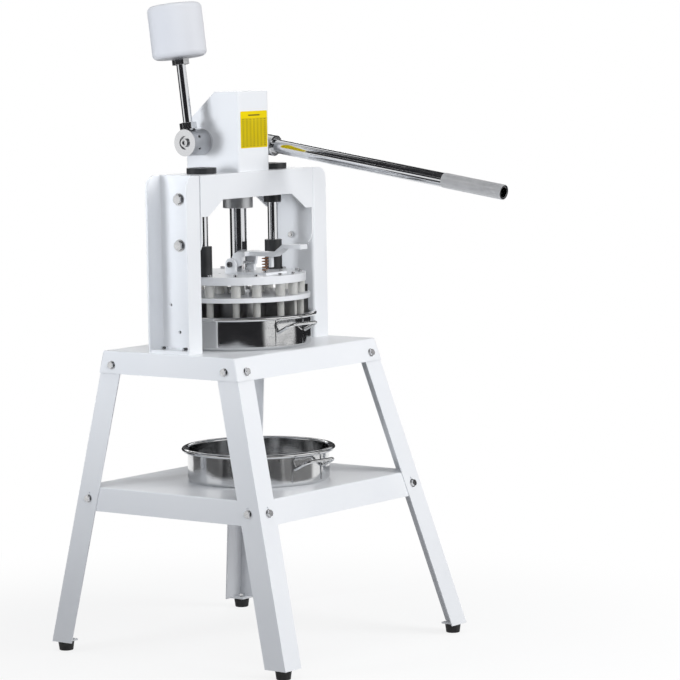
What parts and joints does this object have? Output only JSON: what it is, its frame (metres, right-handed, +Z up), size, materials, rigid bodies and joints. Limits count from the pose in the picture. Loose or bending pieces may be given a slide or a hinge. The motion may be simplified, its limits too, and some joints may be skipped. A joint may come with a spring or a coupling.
{
  "type": "dough divider",
  "caption": "Hand-lever dough divider on a splayed stand: rack-and-pinion ram, counterweight, knife head with pressing pads, guide rods, latch, round pans and a shelf.",
  "frame": {"origin": "on the floor plane through the undersides of the feet, straight below the axis of the ram and of the press pan", "axes": "+X to the right as one faces the lever, +Y to the back, +Z up along the ram; the lever points to -Y"},
  "size_m": [0.7228, 1.0143, 1.543],
  "materials": {
    "white_paint": "smooth white powder coat, semi-gloss",
    "pale_iron": "pale painted iron, semi-gloss",
    "turned_steel": "turned and zinc-plated steel",
    "bolt_steel": "zinc-plated fasteners",
    "ribbed_steel": "fine lengthwise ribs, satin plated",
    "chrome_plate": "polished plated bar",
    "stainless": "bright drawn stainless steel",
    "spring_wire": "copper-coloured spring wire",
    "white_plastic": "food-safe white plastic",
    "black_plastic": "black bearing plastic",
    "black_rubber": "matt black rubber"
  },
  "bodies": {
    "stand": {"table_top": "white_paint", "shelf": "white_paint", "leg_front_left": "white_paint", "leg_front_right": "white_paint", "leg_back_left": "white_paint", "leg_back_right": "white_paint", "foot_plates": "white_paint", "rubber_feet": "black_rubber", "foot_screws": "bolt_steel", "table_bolts": "bolt_steel", "shelf_bolts": "bolt_steel", "stand_nuts": "bolt_steel", "post_left": "white_paint", "post_right": "white_paint", "post_base_bolts": "bolt_steel", "beam": "white_paint", "beam_bolts": "bolt_steel", "beam_nuts": "bolt_steel", "gear_housing": "white_paint", "shaft_bushes": "turned_steel", "ram_collar": "turned_steel", "guide_bush_left": "black_plastic", "guide_bush_right": "black_plastic", "press_pan": "stainless", "press_pan_handle": "stainless"},
    "lever": {"pinion_shaft": "turned_steel", "pinion": "turned_steel", "lever_hub": "turned_steel", "lever_tube": "chrome_plate", "lever_grip": "ribbed_steel", "weight_hub": "turned_steel", "hub_end_screw": "bolt_steel", "hub_set_screws": "bolt_steel", "weight_arm": "turned_steel", "weight_nuts": "bolt_steel", "counterweight": "pale_iron"},
    "ram": {"ram": "chrome_plate", "ram_screws": "bolt_steel", "knife_carrier": "white_paint", "knife_ring": "stainless", "knife_blades": "stainless", "centre_knife": "stainless", "bumpers": "black_rubber"},
    "head": {"press_plate": "white_paint", "pillars": "white_plastic", "pillar_screws": "bolt_steel", "outer_pads": "white_plastic", "inner_pads": "white_plastic", "guide_rod_left": "chrome_plate", "guide_rod_right": "chrome_plate", "rod_sleeve_left": "black_rubber", "rod_sleeve_right": "black_rubber", "latch_bracket": "white_paint", "bracket_screws": "bolt_steel", "latch_pivots": "bolt_steel", "latch_spring": "spring_wire"},
    "latch": {"latch_lever": "white_paint", "latch_cross_pin": "turned_steel"},
    "loose_pan": {"shelf_pan": "stainless", "shelf_pan_handle": "stainless"}
  },
  "joints": [
    {"name": "lever_turn", "type": "hinge", "parent": "stand", "child": "lever", "pos_m": [0, 0.054, 1.209], "axis": [1, 0, 0], "range_deg": [-107, 14]},
    {"name": "ram_slide", "type": "slide", "parent": "stand", "child": "ram", "axis": [0, 0, 1], "range_m": [-0.0093, 0.0702]},
    {"name": "head_slide", "type": "slide", "parent": "ram", "child": "head", "axis": [0, 0, 1], "range_m": [0, 0.02]},
    {"name": "latch_press", "type": "hinge", "parent": "head", "child": "latch", "pos_m": [0, -0.005, 0.915], "axis": [1, 0, 0], "range_deg": [0, 5], "stiffness_Nm_per_rad": 14, "springref_deg": -11.46, "deforming": ["latch_spring"]},
    {"name": "pan_slide", "type": "slide", "parent": "stand", "child": "loose_pan", "axis": [0, -1, 0], "range_m": [0, 0.35]}
  ],
  "couplings": [
    {"joint": "ram_slide", "follows": "lever_turn", "m_per_rad": -0.0375}
  ]
}
